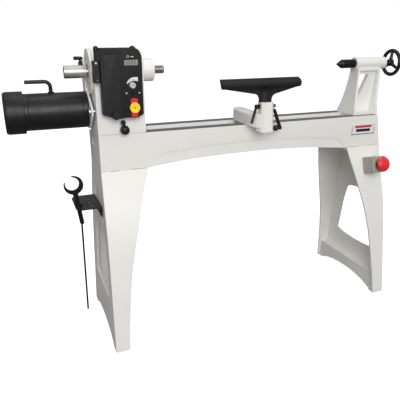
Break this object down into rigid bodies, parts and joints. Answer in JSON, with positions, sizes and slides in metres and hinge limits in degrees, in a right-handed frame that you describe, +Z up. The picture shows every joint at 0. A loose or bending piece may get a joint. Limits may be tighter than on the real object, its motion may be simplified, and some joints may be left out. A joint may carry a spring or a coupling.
{
  "type": "wood lathe",
  "caption": "Free-standing wood-turning lathe with cast stands, a sliding headstock and motor, a tool rest on a banjo, and a tailstock with a live centre.",
  "frame": {"origin": "centre of the bounding box in plan, on the floor", "axes": "+X from the motor to the tailstock handwheel, +Y to the rear, +Z up; the operator stands on the -Y side"},
  "size_m": [1.808, 0.494, 1.2275],
  "materials": {
    "white_paint": "semi-gloss off-white enamel",
    "machined_iron": "machined grey iron",
    "steel": "turned steel",
    "aluminium": "turned aluminium",
    "black_oxide": "black oxide",
    "black_plastic": "matte black moulding",
    "black_paint": "satin black enamel",
    "rubber": "ribbed rubber",
    "red_plastic": "red moulding",
    "yellow_plastic": "yellow moulding",
    "grey_plastic": "warm grey moulding",
    "light_knob": "light grey moulding",
    "display": "liquid-crystal window",
    "plate": "blank painted plate",
    "copper": "enamelled copper winding and laminations"
  },
  "bodies": {
    "base": {"stand_left": "white_paint", "stand_right": "white_paint", "lathe_bed": "white_paint", "bed_bolt_left_front": "steel", "bed_bolt_left_rear": "steel", "bed_bolt_right_front": "steel", "bed_bolt_right_rear": "steel", "name_plate": "plate", "tool_holder_bracket": "black_paint", "remote_stop_box": "grey_plastic"},
    "remote_button": {"remote_stop_button": "red_plastic"},
    "wrench": {"spindle_wrench": "black_oxide"},
    "knockout": {"knockout_rod": "black_oxide"},
    "headstock": {"headstock_casting": "white_paint", "spindle_bearing_left": "steel", "spindle_bearing_right": "steel", "front_bearing_cap": "white_paint", "drive_belt": "rubber", "control_panel": "black_plastic", "display_lens": "display", "door_hinge_block": "black_plastic", "door_hinge_pin": "black_plastic", "motor_pivot_pin": "steel"},
    "knob": {"speed_knob": "light_knob"},
    "switch": {"direction_switch": "black_plastic"},
    "paddle": {"stop_paddle": "red_plastic"},
    "key": {"safety_key": "yellow_plastic"},
    "door": {"belt_door": "black_plastic"},
    "latch": {"door_latch": "black_plastic"},
    "head_lock": {"headstock_lock_lever": "black_plastic"},
    "head_clamp": {"headstock_clamp_plate": "machined_iron", "headstock_clamp_bolt": "steel"},
    "motor_lock": {"motor_lock_lever": "black_plastic"},
    "spindle_group": {"spindle": "steel", "spindle_pulley": "aluminium", "outboard_handwheel": "aluminium"},
    "motor": {"motor_plate": "white_paint", "motor_body": "black_paint", "motor_stator": "copper", "motor_fan_cover": "black_paint", "motor_lift_handle": "black_plastic"},
    "rotor": {"motor_rotor": "steel", "motor_pulley": "aluminium", "cooling_fan": "black_plastic"},
    "rest_clamp": {"banjo_clamp_plate": "machined_iron"},
    "rest_bolt": {"banjo_clamp_bolt": "steel"},
    "banjo_body": {"banjo": "white_paint"},
    "banjo_lever": {"banjo_clamp_lever": "black_plastic"},
    "rest_post": {"tool_rest_post": "steel"},
    "rest": {"tool_rest": "black_paint"},
    "rest_lever": {"rest_lock_lever": "black_plastic"},
    "tailstock": {"tailstock_casting": "white_paint"},
    "tail_clamp": {"tailstock_clamp_plate": "machined_iron", "tailstock_clamp_bolt": "steel"},
    "tail_lock": {"tailstock_lock_lever": "black_plastic"},
    "quill_body": {"quill": "black_oxide"},
    "center": {"live_center": "black_oxide"},
    "handwheel": {"tailstock_handwheel": "black_plastic", "lead_screw": "steel"},
    "quill_lever": {"quill_lock_lever": "black_plastic"}
  },
  "joints": [
    {"name": "headstock_slide", "type": "slide", "parent": "base", "child": "headstock", "axis": [1, 0, 0], "range_m": [0, 0.3]},
    {"name": "spindle_spin", "type": "hinge", "parent": "headstock", "child": "spindle_group", "pos_m": [-0.28, 0, 1.13], "axis": [1, 0, 0], "continuous": true},
    {"name": "motor_swing", "type": "hinge", "parent": "headstock", "child": "motor", "pos_m": [-0.589, -0.058, 0.985], "axis": [1, 0, 0], "range_deg": [0, 6], "deforming": ["drive_belt"]},
    {"name": "rotor_spin", "type": "hinge", "parent": "motor", "child": "rotor", "pos_m": [-0.68, 0.04, 0.98], "axis": [1, 0, 0], "continuous": true},
    {"name": "motor_lock_turn", "type": "hinge", "parent": "headstock", "child": "motor_lock", "pos_m": [-0.598, 0.075, 1.152], "axis": [1, 0, 0], "range_deg": [-60, 60]},
    {"name": "belt_door_hinge", "type": "hinge", "parent": "headstock", "child": "door", "pos_m": [-0.567, -0.118, 1.136], "axis": [0, 0, -1], "range_deg": [0, 100]},
    {"name": "door_latch_turn", "type": "hinge", "parent": "door", "child": "latch", "pos_m": [-0.51, -0.13, 0.976], "axis": [0, 1, 0], "range_deg": [0, 90]},
    {"name": "speed_knob_turn", "type": "hinge", "parent": "headstock", "child": "knob", "pos_m": [-0.442, -0.138, 1.086], "axis": [0, 1, 0], "range_deg": [0, 270]},
    {"name": "direction_switch_throw", "type": "hinge", "parent": "headstock", "child": "switch", "pos_m": [-0.441, -0.1285, 1.057], "axis": [0, 0, 1], "range_deg": [-14, 14]},
    {"name": "stop_paddle_press", "type": "slide", "parent": "headstock", "child": "paddle", "axis": [0, -1, 0], "range_m": [0, 0.006]},
    {"name": "safety_key_pull", "type": "slide", "parent": "paddle", "child": "key", "axis": [0, -1, 0], "range_m": [0, 0.03]},
    {"name": "headstock_lock_turn", "type": "hinge", "parent": "headstock", "child": "head_lock", "pos_m": [-0.474, -0.1, 0.914], "axis": [0, 1, 0], "range_deg": [0, 90]},
    {"name": "headstock_clamp_lift", "type": "slide", "parent": "headstock", "child": "head_clamp", "axis": [0, 0, 1], "range_m": [-0.0022, 0]},
    {"name": "tailstock_clamp_lift", "type": "slide", "parent": "tailstock", "child": "tail_clamp", "axis": [0, 0, 1], "range_m": [-0.0022, 0]},
    {"name": "banjo_slide", "type": "slide", "parent": "base", "child": "rest_clamp", "axis": [1, 0, 0], "range_m": [-0.25, 0.4]},
    {"name": "banjo_swivel", "type": "hinge", "parent": "rest_clamp", "child": "rest_bolt", "pos_m": [0.09, 0, 0.865], "axis": [0, 0, 1], "range_deg": [-10, 10]},
    {"name": "banjo_reach", "type": "slide", "parent": "rest_bolt", "child": "banjo_body", "axis": [0, 1, 0], "range_m": [-0.036, 0.012]},
    {"name": "banjo_lever_turn", "type": "hinge", "parent": "banjo_body", "child": "banjo_lever", "pos_m": [0.153, -0.15, 0.959], "axis": [1, 0, 0], "range_deg": [-90, 0]},
    {"name": "rest_height", "type": "slide", "parent": "banjo_body", "child": "rest_post", "axis": [0, 0, 1], "range_m": [0, 0.035]},
    {"name": "rest_swivel", "type": "hinge", "parent": "rest_post", "child": "rest", "pos_m": [0.111, -0.158, 1], "axis": [0, 0, 1], "range_deg": [-25, 25]},
    {"name": "rest_lock_turn", "type": "hinge", "parent": "banjo_body", "child": "rest_lever", "pos_m": [0.111, -0.158, 0.981], "axis": [-1, 0, 0], "range_deg": [0, 75]},
    {"name": "tailstock_slide", "type": "slide", "parent": "base", "child": "tailstock", "axis": [1, 0, 0], "range_m": [-0.5, 0]},
    {"name": "tailstock_lock_turn", "type": "hinge", "parent": "tailstock", "child": "tail_lock", "pos_m": [0.705, 0.08, 0.925], "axis": [0, 1, 0], "range_deg": [0, 80]},
    {"name": "quill_feed", "type": "slide", "parent": "tailstock", "child": "quill_body", "axis": [-1, 0, 0], "range_m": [-0.03, 0.065]},
    {"name": "live_center_spin", "type": "hinge", "parent": "quill_body", "child": "center", "pos_m": [0.6, 0, 1.13], "axis": [1, 0, 0], "continuous": true},
    {"name": "handwheel_turn", "type": "hinge", "parent": "tailstock", "child": "handwheel", "pos_m": [0.895, 0, 1.13], "axis": [-1, 0, 0], "range_deg": [-2160, 4680]},
    {"name": "quill_lock_turn", "type": "hinge", "parent": "tailstock", "child": "quill_lever", "pos_m": [0.73, 0.036, 1.13], "axis": [0, 1, 0], "range_deg": [0, 60]},
    {"name": "remote_stop_press", "type": "slide", "parent": "base", "child": "remote_button", "axis": [0, 0.961, -0.2764], "range_m": [0, 0.005], "stiffness_N_per_m": 600, "springref_m": -0.002},
    {"name": "wrench_lift", "type": "slide", "parent": "base", "child": "wrench", "axis": [-0.1275, 0, 0.9918], "range_m": [0, 0.12]},
    {"name": "knockout_lift", "type": "slide", "parent": "base", "child": "knockout", "axis": [0.0157, 0, 0.9999], "range_m": [0, 0.49]}
  ],
  "couplings": [
    {"joint": "spindle_spin", "follows": "rotor_spin", "ratio": 0.4},
    {"joint": "quill_feed", "follows": "handwheel_turn", "m_per_rad": 0.00079577}
  ]
}
